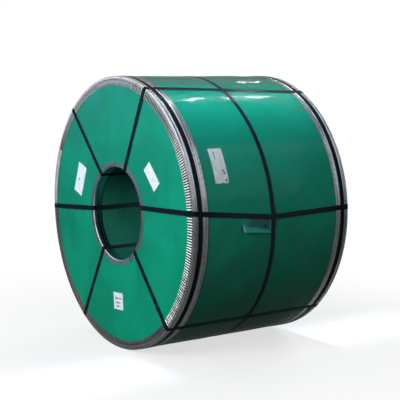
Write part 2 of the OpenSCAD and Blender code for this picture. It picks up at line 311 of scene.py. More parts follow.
class Nodes:
    """Node tree of a material or a world, and short calls that add its nodes."""

    def __init__(self, owner: bpy.types.ID) -> None:
        """Start with an empty tree."""
        owner.use_nodes = True
        self.tree = owner.node_tree
        self.tree.nodes.clear()

    def put(self, socket: Socket, value: object) -> None:
        """Link a socket to another one, or set its constant."""
        if isinstance(value, Socket):
            self.tree.links.new(value, socket)
        else:
            socket.default_value = value

    def add(self, kind: str, out: int | str, inputs: dict[int | str, object], **settings: object) -> Socket:
        """Add a node and return one of its outputs.

        Args:
            kind: Type of the node, without the words that all types start with.
            out: Number or name of the output.
            inputs: Links and constants, by number or name of the input.
            settings: Properties of the node.

        Returns:
            The output.
        """
        node = self.tree.nodes.new(f"ShaderNode{kind}")
        for key, value in settings.items():
            setattr(node, key, value)
        for key, value in inputs.items():
            self.put(node.inputs[key], value)
        return node.outputs[out]

    def surface(self, kind: str, shader: Socket) -> None:
        """Link a shader to the output of a Material or a World."""
        self.put(self.tree.nodes.new(f"ShaderNodeOutput{kind}").inputs["Surface"], shader)

    def split(self, vector: Socket) -> list[Socket]:
        """Lengths of a vector along X, Y and Z."""
        return list(self.add("SeparateXYZ", 0, {0: vector}).node.outputs)

    def math(self, operation: str, first: object, second: object = 0.0, clamp: bool = False) -> Socket:
        """Add a Math node and return its output."""
        return self.add("Math", 0, {0: first, 1: second}, operation=operation, use_clamp=clamp)

    def times(self, first: object, second: object) -> Socket:
        """Product of two numbers."""
        return self.math("MULTIPLY", first, second)

    def mapped(self, source: Socket, scale: Triple) -> Socket:
        """Stretch a vector by a Mapping node."""
        return self.add("Mapping", "Vector", {"Vector": source, "Scale": scale})

    def noise(self, vector: Socket, scale: float, detail: float = 3.0, twist: float = 0.0) -> Socket:
        """Add a noise texture and return its grey output."""
        inputs = {"Vector": vector, "Scale": scale, "Detail": detail, "Distortion": twist}
        return self.add("TexNoise", "Fac", inputs)

    def cells(self, vector: Socket, scale: float) -> Socket:
        """Add a cell texture and return each cell's random grey."""
        colour = self.add("TexVoronoi", "Color", {"Vector": vector, "Scale": scale})
        return self.add("SeparateColor", "Red", {"Color": colour})

    def ramp(self, value: Socket, stops: list[tuple[float, Colour]]) -> Socket:
        """Add a colour ramp through the given places and colours."""
        result = self.add("ValToRGB", "Color", {"Fac": value})
        elements = result.node.color_ramp.elements
        for position, _ in stops[1:-1]:
            elements.new(position)
        for element, (position, colour) in zip(elements, stops):
            element.position, element.color = position, colour
        return result

    def span(self, value: Socket, low: float, high: float, start: float, end: float) -> Socket:
        """Carry a value from the range low to high over to start to end, clipped."""
        ends = {"From Min": low, "From Max": high, "To Min": start, "To Max": end}
        return self.add("MapRange", "Result", {"Value": value} | ends)

    def mix(self, share: object, first: object, second: object) -> Socket:
        """Mix two colours."""
        return self.add("Mix", 2, {0: share, 6: first, 7: second}, data_type="RGBA")


class Shader(Nodes):
    """One Principled material and the calls that fill it."""

    def __init__(self, name: str) -> None:
        """Start the material with its Principled shader."""
        self.material = bpy.data.materials.new(name)
        super().__init__(self.material)
        self.bsdf = self.add("BsdfPrincipled", 0, {}).node
        self.surface("Material", self.bsdf.outputs["BSDF"])
        self.spot = self.add("TexCoord", "Object", {})

    def set(self, **values: object) -> None:
        """Set the shader's sockets by name, with _ for a space."""
        for key, value in values.items():
            self.put(self.bsdf.inputs[key.replace("_", " ")], value)

    def bump(self, height: Socket, strength: float, distance: float) -> None:
        """Put a height into the shader's normal, after any bump that is there."""
        normal = self.bsdf.inputs["Normal"]
        below = {"Normal": normal.links[0].from_socket} if normal.is_linked else {}
        inputs = {"Strength": strength, "Distance": distance, "Height": height}
        self.put(normal, self.add("Bump", "Normal", inputs | below))

    def attribute(self, name: str) -> Socket:
        """Read a number that the mesh keeps at each vertex."""
        return self.add("Attribute", "Fac", {}, attribute_name=name)

    def lay(self) -> tuple[Socket, Socket, Socket]:
        """Place on the sheet: the vector, the length along and the length across."""
        place_on = self.add("UVMap", "UV", {}, uv_map="lay")
        along, across, _ = self.split(place_on)
        return place_on, along, across

    def window(self, u: Socket, v: Socket, box: Quad) -> Socket:
        """One inside a box of the sheet's own lengths, and zero outside it."""
        inside = [self.times(self.math("GREATER_THAN", value, low), self.math("LESS_THAN", value, high))
                  for value, low, high in ((u, box[0], box[1]), (v, box[2], box[3]))]
        return self.times(*inside)


@dataclass(frozen=True)
class GreenPaint:
    """Glossy green paint on thin sheet, with soft clouds, fine dust and a painted light tint that changes with
    height.

    Attributes:
        gloss: Least and greatest roughness.
        painted_tint_span: Heights in metres from which and to which the painted light tint grows, and its greatest
            share.
        primer: Whether the sheet is folded and shows the primer on its reverse, darkened as painted shade, beside a
            lip lighter as painted light.
    """

    name: str
    light: Colour
    dark: Colour
    cloud_scale: float
    gloss: Pair
    specular: float
    # Painted light: a colour mixed in by height, for light and reflection that change from top to bottom.
    painted_height_tint: Colour = (0.3, 0.45, 0.42, 1.0)
    painted_tint_span: Triple = (0.7, 1.75, 0.0)
    primer: bool = False
    # Dark primer of the reverse, also standing for painted shade of the recess under the strap.
    primer_and_shade_colour: Colour = (0.03, 0.135, 0.15, 1.0)
    # Colour of the stain and of the painted shade at the lip's open end.
    stain_and_shade_colour: Colour = (0.01, 0.012, 0.012, 1.0)
    # Painted pale rim highlight.
    painted_rim_light: Colour = (0.24, 0.50, 0.48, 1.0)
    speck_colour: Colour = (0.32, 0.46, 0.42, 1.0)

    def material(self) -> Material:
        """Build the paint: clouds of two greens, uneven gloss, a painted light tint by height, specks and fine
        waves.

        A folded sheet also has a green lip, lighter as painted light, over a primer darkened as painted shade, a
        stain with painted shade at the slit and painted pale rim highlights, from numbers on its mesh.
        """
        shader = Shader(self.name)
        spot = shader.spot
        clouds = shader.noise(spot, self.cloud_scale, 4.0, 0.6)
        colour = shader.ramp(clouds, [(0.36, self.dark), (0.64, self.light)])
        # Painted light: mix in the tint by height.
        low, high, share = self.painted_tint_span
        colour = shader.mix(shader.span(shader.split(spot)[2], low, high, 0.0, share), colour, self.painted_height_tint)
        if self.primer:
            # Lighter green lip over a dark primer: painted light on the lip, painted shade on the recess.
            colour = shader.mix(shader.attribute("lip"), self.primer_and_shade_colour, colour)
            # Stain, and painted shade at the lip's open end.
            colour = shader.mix(shader.attribute("stain"), colour, self.stain_and_shade_colour)
            # Painted pale rim highlights.
            colour = shader.mix(shader.attribute("rim"), colour, self.painted_rim_light)
        specks = shader.span(shader.noise(spot, 160.0, 2.0), 0.66, 0.8, 0.0, 0.22)
        shader.set(
            Base_Color=shader.mix(specks, colour, self.speck_colour),
            Roughness=shader.span(shader.noise(spot, 7.0, 3.0), 0.3, 0.7, *self.gloss),
            Specular_IOR_Level=self.specular,
        )
        shader.bump(shader.noise(spot, 9.0, 2.0), strength=0.25, distance=0.004)
        shader.bump(shader.noise(spot, 60.0, 2.0), strength=0.06, distance=0.001)
        return shader.material


@dataclass(frozen=True)
class Zinc:
    """Zinc coated sheet with rolled streaks, crystal spangle and grime, plus painted highlight lines, a dark edge
    line and, on pleats, painted crest highlights and valley shade.
    """

    name: str
    light: Colour = (0.62, 0.66, 0.68, 1.0)
    dark: Colour = (0.24, 0.26, 0.27, 1.0)
    folded: bool = False
    streaks: Triple = (1.6, 70.0, 1.0)
    # Scale of the noise that breaks up the painted highlight lines.
    shine_breakup_scale: Triple = (14.0, 160.0, 1.0)
    grime: Colour = (0.26, 0.24, 0.21, 1.0)
    # Painted highlight colour of the lines beside bend and hoop.
    painted_highlight: Colour = (0.95, 0.96, 0.97, 1.0)
    # Dark edge of the lip: the cut edge and a painted shadow line.
    dark_edge_and_shade: Colour = (0.035, 0.03, 0.026, 1.0)
    # Painted shade in the pleats' valleys.
    painted_valley_shade: Colour = (0.008, 0.010, 0.014, 1.0)
    # Painted highlight on the pleats' crests.
    crest: Colour = (0.94, 0.95, 0.96, 1.0)

    def material(self) -> Material:
        """Build the metal: streaks, spangle, grime, painted highlight lines, a dark edge partly painted shadow and,
        on pleats, painted crest highlights and painted valley shade.
        """
        shader = Shader(self.name)
        lay, _, _ = shader.lay()
        spot = shader.spot
        streak = shader.noise(shader.mapped(lay, self.streaks), 1.0, 3.0, 0.15)
        tone = shader.math("ADD", shader.times(streak, 0.9), shader.times(shader.cells(spot, 90.0), 0.1))
        colour = shader.ramp(tone, [(0.38, self.dark), (0.60, self.light)])
        patches = shader.span(shader.noise(spot, 4.0, 4.0), 0.55, 0.75, 0.0, 0.3)
        colour = shader.mix(patches, colour, self.grime)
        # Painted highlight: pale lines from the mesh's shine shares, broken up by noise, with less metal there so
        # they stay bright.
        shine_breakup = shader.span(shader.noise(shader.mapped(lay, self.shine_breakup_scale), 1.0, 2.0), 0.3, 0.6, 0.35, 1.0)
        painted_shine = shader.times(shader.attribute("painted_shine"), shine_breakup)
        colour = shader.mix(painted_shine, colour, self.painted_highlight)
        # Dark edge line: the cut edge and a painted shadow.
        colour = shader.mix(shader.attribute("cut"), colour, self.dark_edge_and_shade)
        metal = shader.span(painted_shine, 0.0, 1.0, 1.0, 0.25)
        if self.folded:
            fold, pleat = shader.attribute("fold"), shader.attribute("pleat")
            # Painted shade in the valleys and painted highlight on the crests, with less metal there.
            colour = shader.mix(shader.span(fold, 0.44, 0.56, 0.0, 1.0), self.painted_valley_shade, colour)
            crest_light = shader.times(shader.span(fold, 0.46, 0.56, 0.0, 1.0), pleat)
            colour = shader.mix(crest_light, colour, self.crest)
            dull = shader.times(shader.span(fold, 0.44, 0.56, 1.0, 0.0), pleat)
            ribbed = shader.span(shader.math("MAXIMUM", crest_light, dull), 0.0, 1.0, 1.0, 0.1)
            metal = shader.math("MINIMUM", metal, ribbed)
        shader.set(
            Base_Color=colour,
            Metallic=metal,
            Roughness=shader.span(streak, 0.3, 0.7, 0.2, 0.33),
        )
        shader.bump(streak, strength=0.08, distance=0.001)
        shader.bump(shader.noise(spot, 14.0, 2.0), strength=0.16, distance=0.003)
        return shader.material


@dataclass(frozen=True)
class StrapPaint:
    """Blue-black painted steel strapping with rubbed edges, lighter and greener along the low middle of the coil.
    """

    name: str
    paint: Colour = (0.004, 0.009, 0.016, 1.0)
    low_middle_tone: Colour = (0.020, 0.036, 0.037, 1.0)
    rubbed: Colour = (0.12, 0.13, 0.15, 1.0)
    tint: Colour = (0.5, 0.56, 1.0, 1.0)
    scratches: Triple = (6.0, 900.0, 1.0)

    def material(self) -> Material:
        """Build the strap: dark paint, a lighter tone along the low middle, scratches along it, and bare steel on
        its edges.
        """
        shader = Shader(self.name)
        lay, _, across = shader.lay()
        scratch = shader.noise(shader.mapped(lay, self.scratches), 1.0, 3.0)
        edge = shader.span(shader.math("ABSOLUTE", across), 0.0135, 0.0162, 0.0, 1.0)
        wear = shader.times(edge, shader.span(shader.noise(lay, 30.0, 4.0), 0.45, 0.65, 0.0, 0.7))
        share = shader.math("MAXIMUM", wear, shader.span(scratch, 0.66, 0.8, 0.0, 0.12))
        _, y, z = shader.split(shader.spot)
        # A lighter, greener tone along the middle of the coil's length, most low down.
        middle = shader.span(shader.math("ABSOLUTE", y), 0.3, 0.6, 1.0, 0.0)
        low_middle_share = shader.times(middle, shader.span(z, 0.75, 1.4, 1.0, 0.2))
        shader.set(
            Base_Color=shader.mix(share, shader.mix(low_middle_share, self.paint, self.low_middle_tone), self.rubbed),
            Roughness=shader.span(scratch, 0.3, 0.7, 0.16, 0.3),
            Specular_IOR_Level=0.045,
            Specular_Tint=self.tint,
        )
        shader.bump(scratch, strength=0.1, distance=0.0006)
        return shader.material


@dataclass(frozen=True)
class LabelPaper:
    """Paper label with a few plain printed bars, each a box of the sheet in shares."""

    name: str
    paper: Colour
    size: Pair
    bars: Quads
    ink: Colour = (0.03, 0.035, 0.045, 1.0)
    dulled: float = 0.82

    def material(self) -> Material:
        """Build the label: faintly clouded paper and its bars."""
        shader = Shader(self.name)
        lay, u, v = shader.lay()
        w, h = self.size[0] * MM, self.size[1] * MM
        dull = tuple(self.dulled * c for c in self.paper[:3]) + (1.0,)
        colour = shader.ramp(shader.noise(lay, 25.0, 4.0), [(0.35, dull), (0.6, self.paper)])
        print_share = shader.span(shader.noise(lay, 260.0, 2.0), 0.35, 0.6, 0.45, 0.95)
        for left, right, low, high in self.bars:
            bar = shader.window(u, v, (left * w, right * w, low * h, high * h))
            colour = shader.mix(shader.times(bar, print_share), colour, self.ink)
        shader.set(Base_Color=colour, Roughness=0.5, Specular_IOR_Level=0.3)
        shader.bump(shader.noise(lay, 40.0, 3.0), strength=0.2, distance=0.001)
        return shader.material


@dataclass(frozen=True)
class BareSteel:
    """Bare rolled steel of the wound strip and the seals."""

    name: str
    light: Colour
    dark: Colour
    grain_scale: float

    def material(self) -> Material:
        """Build the steel: fine grain and uneven gloss."""
        shader = Shader(self.name)
        grain = shader.noise(shader.spot, self.grain_scale, 4.0)
        shader.set(
            Base_Color=shader.ramp(grain, [(0.3, self.dark), (0.7, self.light)]),
            Metallic=1.0,
            Roughness=shader.span(grain, 0.3, 0.7, 0.25, 0.45),
        )
        shader.bump(grain, strength=0.15, distance=0.0006)
        return shader.material


@dataclass
class Finishes:
    """All finishes of the coil, each built once."""

    # The mantle's height tint is a greyer tone on its lower part: painted reflection.
    mantle: Material = field(default_factory=GreenPaint(
        "green_wrap", (0.003, 0.268, 0.176, 1.0), (0.003, 0.222, 0.144, 1.0), 2.2, (0.05, 0.11), 0.09,
        (0.10, 0.24, 0.10, 1.0), (1.25, 0.8, 0.1)).material)
    # The tab's greens are lighter than the mantle's: painted light on the lip that faces up.
    tab: Material = field(default_factory=GreenPaint(
        "green_tab", (0.02, 0.33, 0.22, 1.0), (0.02, 0.28, 0.18, 1.0), 2.2, (0.1, 0.2), 0.15, primer=True).material)
    # The end covers' height tint is bluish on their upper part: painted light from the sky above.
    cover: Material = field(default_factory=GreenPaint(
        "green_cover", (0.002, 0.250, 0.152, 1.0), (0.002, 0.200, 0.118, 1.0), 3.0, (0.2, 0.32), 0.05,
        (0.055, 0.34, 0.50, 1.0), (0.7, 1.75, 0.11)).material)
    liner: Material = field(default_factory=GreenPaint(
        "green_liner", (0.014, 0.144, 0.096, 1.0), (0.011, 0.104, 0.072, 1.0), 4.0, (0.2, 0.32), 0.15).material)
    guard: Material = field(default_factory=Zinc("zinc_guard").material)
    pleats: Material = field(default_factory=Zinc("zinc_pleats", folded=True).material)
    inner: Material = field(default_factory=Zinc(
        "zinc_inner", (0.58, 0.84, 0.99, 1.0), (0.32, 0.48, 0.58, 1.0)).material)
    strap: Material = field(default_factory=StrapPaint("strap_paint").material)
    strip: Material = field(default_factory=BareSteel(
        "strip_edges", (0.66, 0.67, 0.68, 1.0), (0.4, 0.41, 0.42, 1.0), 300.0).material)
    seal: Material = field(default_factory=BareSteel(
        "seal_zinc", (0.6, 0.61, 0.62, 1.0), (0.34, 0.35, 0.36, 1.0), 120.0).material)


@dataclass
class Mantle:
    """Sheet round the outside, which buckles outwards a little between guards and hoops."""

    buckle_h: float = 2.2
    hoop_fade: Pair = (17.0, 95.0)
    lip_fade: Pair = (338.0, 488.0)
    wave_shares: Triple = (0.36, 0.30, 0.07)
    stations: int = 540
    rows: int = 150
    long_waves: Ripples = Ripples(11, 14, (6, 26), (0.4, 3.0))
    short_waves: Ripples = Ripples(23, 16, (30, 90), (2.0, 9.0))

    def radius(self, angle: Array, front: Array) -> Array:
        """Radius of the sheet: its base plus buckles that fade out under hoop and guards.

        Args:
            angle: Angles in radians.
            front: Lengths along the axis in millimetres.

        Returns:
            Radii in millimetres.
        """
        depth = np.abs(front)
        fade = smooth(depth, *self.hoop_fade) * (1.0 - smooth(depth, *self.lip_fade))
        base, long, short = self.wave_shares
        wave = base + long * self.long_waves.at(angle, front) + short * self.short_waves.at(angle, front)
        return SIZES.wrap_r + self.buckle_h * np.clip(wave, 0.0, 1.0) * fade

    def build(self, finishes: Finishes) -> None:
        """Carry the profile, outer face and inner face, round the axis."""
        angle = np.linspace(0.0, FULL_TURN, self.stations + 1)
        front = np.linspace(SIZES.wrap_half, -SIZES.wrap_half, self.rows)
        outer = place(self.radius(angle[:-1, None], front[None, :]), angle[:-1, None], front[None, :])
        back = front[[-1, 0]]
        inner = place(np.array([SIZES.wrap_in]), angle[:-1, None], back[None, :])
        across = np.concatenate([front, back, front[:1]]) * MM
        patch = ring_patch(np.concatenate([outer, inner], axis=1), angle * SIZES.wrap_r * MM, across)
        make_piece("green_wrap", patch, finishes.mantle, ["outer_wrap"])


@dataclass
class EndCover:
    """Annular sheet on one end, slack between the two guards."""

    end: End
    wave_h: float = 1.3
    wave_shares: Pair = (0.5, 0.28)
    inner_fade: Pair = (342.0, 400.0)
    outer_fade: Pair = (760.0, 822.0)
    stations: int = 360
    rows: int = 72
    inner: float = 307.8
    outer: float = 879.7
    lay_r: float = 600.0

    def height(self, radius: Array, angle: Array) -> Array:
        """Height of the sheet along the axis: flat under the guards, wavy between them.

        Args:
            radius: Radii in millimetres.
            angle: Angles in radians.

        Returns:
            Lengths from the middle of the coil in millimetres.
        """
        waves = Ripples(31 + self.end.value, 16, (1, 9), (0.5, 4.0))
        fade = smooth(radius, *self.inner_fade) * (1.0 - smooth(radius, *self.outer_fade))
        base, share = self.wave_shares
        return SIZES.cover_z + self.wave_h * np.clip(base + share * waves.at(angle, radius), 0.0, 1.0) * fade

    def build(self, finishes: Finishes) -> None:
        """Carry the profile, wavy face and flat back, round the axis."""
        angle = np.linspace(0.0, FULL_TURN, self.stations + 1)
        radius = np.linspace(self.outer, self.inner, self.rows)
        face = place(radius[None, :], angle[:-1, None],
                     self.end.value * self.height(radius[None, :], angle[:-1, None]))
        back_r = radius[[-1, 0]]
        back = place(back_r[None, :], angle[:-1, None], np.array([self.end.value * SIZES.cover_in]))
        across = np.concatenate([radius, back_r, radius[:1]]) * MM
        patch = ring_patch(np.concatenate([face, back], axis=1), angle * self.lay_r * MM, across)
        name = self.end.name.lower()
        make_piece(f"green_cover_{name}", patch, finishes.cover, [f"end_cover_{name}"])


@dataclass
class BoreLiner:
    """Sheet that lines the bore, dented a little into it between the guards."""

    face_r: float = 303.8
    back_r: float = 304.8
    dent_h: float = 0.9
    dent_shares: Pair = (0.4, 0.3)
    lip_fade: Pair = (470.0, 535.0)
    stations: int = 240
    rows: int = 70
    waves: Ripples = Ripples(41, 12, (3, 14), (0.5, 4.0))

    def build(self, finishes: Finishes) -> None:
        """Carry the profile round the axis, with dents towards the axis."""
        angle = np.linspace(0.0, FULL_TURN, self.stations + 1)
        front = np.linspace(SIZES.wrap_half, -SIZES.wrap_half, self.rows)
        base, share = self.dent_shares
        dent = np.clip(base + share * self.waves.at(angle[:-1, None], front[None, :]), 0.0, 1.0)
        dent = dent * (1.0 - smooth(np.abs(front), *self.lip_fade))
        face = place(self.face_r - self.dent_h * dent, angle[:-1, None], front[None, :])
        ends = front[[-1, 0]]
        back = place(np.array([self.back_r]), angle[:-1, None], ends[None, :])
        across = np.concatenate([front, ends, front[:1]]) * MM
        patch = ring_patch(np.concatenate([face, back], axis=1), angle * self.face_r * MM, across)
        make_piece("green_liner", patch, finishes.liner, ["bore_liner"])


def run_lengths(line: Array) -> Array:
    """Lengths along a line of points, from nought at the first one."""
    return np.concatenate([[0.0], np.cumsum(np.hypot(*np.diff(line, axis=0).T))])


def bent_profile(
    flange: Array, centre: Pair, turn: Pair, lip: Array, lip_r: float
) -> tuple[Array, Array]:
    """Outer and inner line of a bent guard section, from the flange's tip to the lip's edge.

    A straight flange, a quarter bend about the centre and a straight lip follow each other. The
    inner line lies one sheet thickness behind, about the same centre.

    Args:
        flange: Radii along the flange.
        centre: Radius and length of the bend's centre.
        turn: First and last angle of the bend in degrees.
        lip: Lengths along the lip.
        lip_r: Radius of the lip's outer face.

    Returns:
        Two arrays of radius and length pairs.
    """
    bend = np.radians(np.linspace(turn[0], turn[1], 7))[1:-1]
    side = math.copysign(1.0, math.cos(math.radians(turn[1])))
    lines = []
    for depth in (0.0, SIZES.guard_t):
        arc = SIZES.bend_r - depth
        lines.append(np.concatenate([
            np.stack([flange, np.full_like(flange, SIZES.flange_z - depth)], axis=-1),
            np.stack([centre[0] + arc * np.cos(bend), centre[1] + arc * np.sin(bend)], axis=-1),
            np.stack([np.full_like(lip, lip_r - side * depth), lip], axis=-1),
        ]))
    return lines[0], lines[1]


@dataclass
class OuterGuard:
    """One piece of the outer edge guard, smooth or with a pleated flange.

    Attributes:
        joint: Gap to the neighbour.
        bead_at: Distance of a bead from the hoop's middle.
        smooth_step: Angle between grid lines on a smooth piece, in radians.
        sharpness: Share of a sine that the pleats follow, a straight zigzag at one.
        lip_runs: Start, end and number of the lip's points, counted from the hoop's middle.
        edge_run: The same for the lip's edge, counted from the edge.
        highlight_lines: Place beside the hoop's middle, half width and strength of each painted highlight line.
        cut_w: Half width of the dark edge line, the cut edge and a painted shadow.
    """

    number: int
    end: End
    start: float
    stop: float
    pleated: bool
    joint: float = 2.0
    pleat_pitch: float = 16.5
    lip_w: float = 107.0
    bead_h: float = 1.0
    bead_at: float = 21.5
    bead_w: float = 4.0
    stations_a_pleat: int = 6
    smooth_step: float = 0.012
    sharpness: float = 0.95
    lip_runs: tuple[tuple[float, float, int], ...] = ((33.0, 14.0, 8), (8.0, -8.0, 3), (-12.0, -29.0, 8))
    edge_run: tuple[float, float, int] = (3.5, 0.0, 4)
    highlight_lines: tuple[Triple, ...] = ((24.5, 3.2, 1.0), (-19.5, 2.6, 1.0), (45.0, 5.0, 0.9))
    cut_w: float = 1.6

    def lip_lengths(self, bend: float) -> Array:
        """Lengths of the lip's points from the bend to the edge, closer together at the hoop and the edge.

        Args:
            bend: Length at which the bend ends.

        Returns:
            Lengths along the axis in millimetres.
        """
        edge, hoop = SIZES.flange_z - self.lip_w, SIZES.hoop_z
        runs = [np.linspace(bend, hoop + 36.0, 4)]
        runs += [np.linspace(hoop + first, hoop + last, count) for first, last, count in self.lip_runs]
        first, last, count = self.edge_run
        runs += [np.linspace(hoop - 36.0, edge + 6.0, 3), np.linspace(edge + first, edge + last, count)]
        return np.concatenate(runs)

    def painted_lines(self, line: Array, angle: Array, flange: int) -> tuple[Array, Array]:
        """Shares of painted highlight lines and of a dark edge line along the lip.

        The zinc gets painted highlight lines on both sides of the bend and of the hoop, on the lip in bell
        curves over the length along the axis, and stronger high on the coil. Its cut edge is dark, with a painted
        shadow line along it.

        Args:
            line: Radius and length pairs of the section's outer line.
            angle: Angles of the stations in radians.
            flange: Number of points on the flange.

        Returns:
            Two arrays of shares, station by point.
        """
        depth = line[:, 1] - SIZES.hoop_z
        # Painted highlight lines beside the bend and the hoop, stronger high on the coil.
        bells = sum(strength * np.exp(-((depth - at) / wide) ** 2) for at, wide, strength in self.highlight_lines)
        bells[:flange] = 0.85 * smooth(line[:flange, 0], SIZES.pleat_top_r, SIZES.pleat_top_r + 7.0)
        height = 0.12 + 0.88 * smooth(np.sin(angle), -0.1, 0.75)
        # Dark line at the lip's edge: the cut edge and a painted shadow.
        cut = np.exp(-((line[:, 1] - SIZES.flange_z + self.lip_w) / self.cut_w) ** 2)
        cut[:flange] = 0.0
        return np.clip(bells, 0.0, 1.0)[None, :] * height[:, None], np.broadcast_to(cut, (len(angle), len(cut)))

    def crest_highlight_share(self, share: Array, angle: Array, pleats: int) -> Array:
        """Share of painted highlight on the folds' crests: it differs from fold to fold, most low down, and is less
        near the top.

        Args:
            share: Places of the stations along the piece, from nought to one.
            angle: Angles of the stations in radians.
            pleats: Number of folds.

        Returns:
            One share a station.
        """
        tone = np.random.default_rng(7 * self.number + self.end.value + 2).uniform(0.0, 1.0, pleats + 1)
        uneven = 0.2 + 0.4 * (1.0 - smooth(np.sin(angle), -0.6, -0.1))
        top = 1.0 - 0.5 * smooth(np.sin(angle), 0.5, 0.75)
        return top * (1.0 - uneven * tone[np.floor(share * pleats).astype(int)])

    def build(self, finishes: Finishes) -> None:
        """Carry the bent section along the arc, and fold its flange up and down into pleats.

        The hoop has drawn the lip down, so a low bead exp(-x^2) stands on each side of it. The
        folds follow arcsin(c cos t), a zigzag with slightly rounded crests.
        """
        gap = math.degrees(self.joint / SIZES.guard_r) / 2.0
        a0, a1 = math.radians(self.start + gap), math.radians(self.stop - gap)
        pleats = round((a1 - a0) * SIZES.guard_r / self.pleat_pitch)
        stations = (pleats * self.stations_a_pleat + 1 if self.pleated
                    else max(12, round((a1 - a0) / self.smooth_step)))
        share = np.linspace(0.0, 1.0, stations)
        angle = a0 + (a1 - a0) * share
        centre = (SIZES.guard_r - SIZES.bend_r, SIZES.flange_z - SIZES.bend_r)
        flange = np.concatenate([np.linspace(SIZES.flange_tip, SIZES.pleat_top_r, 4),
                                 np.linspace(SIZES.pleat_top_r, centre[0], 5)[1:]])
        lip = self.lip_lengths(centre[1])
        outer, inner = bent_profile(flange, centre, (90.0, 0.0), lip, SIZES.guard_r)
        beside = (np.abs(outer[-len(lip):, 1] - SIZES.hoop_z) - self.bead_at) / self.bead_w
        outer[-len(lip):, 0] += self.bead_h * np.exp(-beside ** 2)
        rise = 1.0 - smooth(outer[:, 0], SIZES.pleat_top_r, centre[0])
        rise[len(flange):] = 0.0
        wave = np.arcsin(self.sharpness * -np.cos(FULL_TURN * pleats * share)) / math.asin(self.sharpness)
        fold = 0.5 + 0.5 * wave if self.pleated else np.zeros(stations)
        lift = SIZES.pleat_h * fold[:, None] * rise[None, :]
        faces = [place(line[None, :, 0], angle[:, None], self.end.value * (line[None, :, 1] + lift))
                 for line in (outer, inner)]
        patch = sheet_patch(faces[0], faces[1], angle * SIZES.guard_r * MM, run_lengths(outer) * MM)
        painted_shine, cut = self.painted_lines(outer, angle, len(flange))
        depth = np.where(rise[None, :] > 0.02, fold[:, None], 1.0) if self.pleated else np.ones_like(lift)
        # Painted highlight share on the crests.
        crest_light = smooth(rise, 0.3, 0.8)[None, :] * self.crest_highlight_share(share, angle, pleats)[:, None]
        for key, value in (("fold", depth), ("pleat", crest_light), ("painted_shine", painted_shine), ("cut", cut)):
            patch.keep(key, value)
        name = f"outer_guard_{self.end.name.lower()}_{self.number}"
        finish = finishes.pleats if self.pleated else finishes.guard
        make_piece(f"zinc_{name}", patch, finish, [name])


@dataclass
class InnerGuard:
    """Inner edge guard, one ring whose two ends lap on the flange."""

    end: End
    lip_w: float = 60.0
    lap_l: float = 70.0
    lap_angle: float = 311.0
    lap_step: float = 0.0006
    stations: int = 300
    points_a_side: int = 8

    def build(self, finishes: Finishes) -> None:
        """Carry the bent section round the axis, with its flange raised by one sheet at the lap.

        The bend gets a painted highlight low on the left, in a bell curve over the section's points.
        """
        lap = math.degrees(self.lap_l / SIZES.inner_tip)
        start = math.radians(self.lap_angle - lap)
        stop = start + math.radians(lap)
        angle = start + FULL_TURN * np.linspace(0.0, 1.0, self.stations + 1)[:-1]
        angle = np.sort(np.concatenate([angle, [start - self.lap_step, stop + self.lap_step, stop]]))
        inside = (angle >= start - 1e-9) & (angle <= stop + 1e-9)
        centre = (SIZES.lip_in + SIZES.bend_r, SIZES.flange_z - SIZES.bend_r)
        flange = np.linspace(SIZES.inner_tip, centre[0], self.points_a_side)
        lip = np.linspace(centre[1], SIZES.flange_z - self.lip_w, self.points_a_side)
        outer, inner = bent_profile(flange, centre, (90.0, 180.0), lip, SIZES.lip_in)
        loop = np.concatenate([outer, inner[::-1]])
        raised = np.zeros(len(loop))
        raised[:len(flange)] = SIZES.guard_t
        front = loop[None, :, 1] + raised[None, :] * inside[:, None]
        points = place(loop[None, :, 0], angle[:, None], self.end.value * front)
        across = run_lengths(np.concatenate([loop, loop[:1]])) * MM
        along = np.append(angle, angle[0] + FULL_TURN) * SIZES.lip_in * MM
        name = f"inner_guard_{self.end.name.lower()}"
        patch = ring_patch(points, along, across)
        # Painted highlight on the bend, low on the left.
        bend = np.exp(-((np.arange(len(loop)) - len(flange) - 2.0) / 2.2) ** 2)
        low = smooth(-np.cos(angle) - 0.8 * np.sin(angle), 0.55, 0.95)
        patch.values["painted_shine"] = (bend[None, :] * low[:, None]).ravel()
        make_piece(f"zinc_{name}", patch, finishes.inner, [name])


def strap_section() -> tuple[Array, Array]:
    """Section of a strap: places across it, and share of its thickness, round a closed loop.

    Returns:
        Offsets across in millimetres and shares of the thickness, from 0 inside to 1 outside.
    """
    half = SIZES.strap_w / 2.0
    across = np.array([-half, -half + 0.25, -half + 2.5, 0.0, half - 2.5, half - 0.25, half])
    depth = np.array([0.75, 1.0, 1.0, 1.0, 1.0, 1.0, 0.75])
    return np.concatenate([across, across[::-1]]), np.concatenate([depth, 1.0 - depth[::-1]])


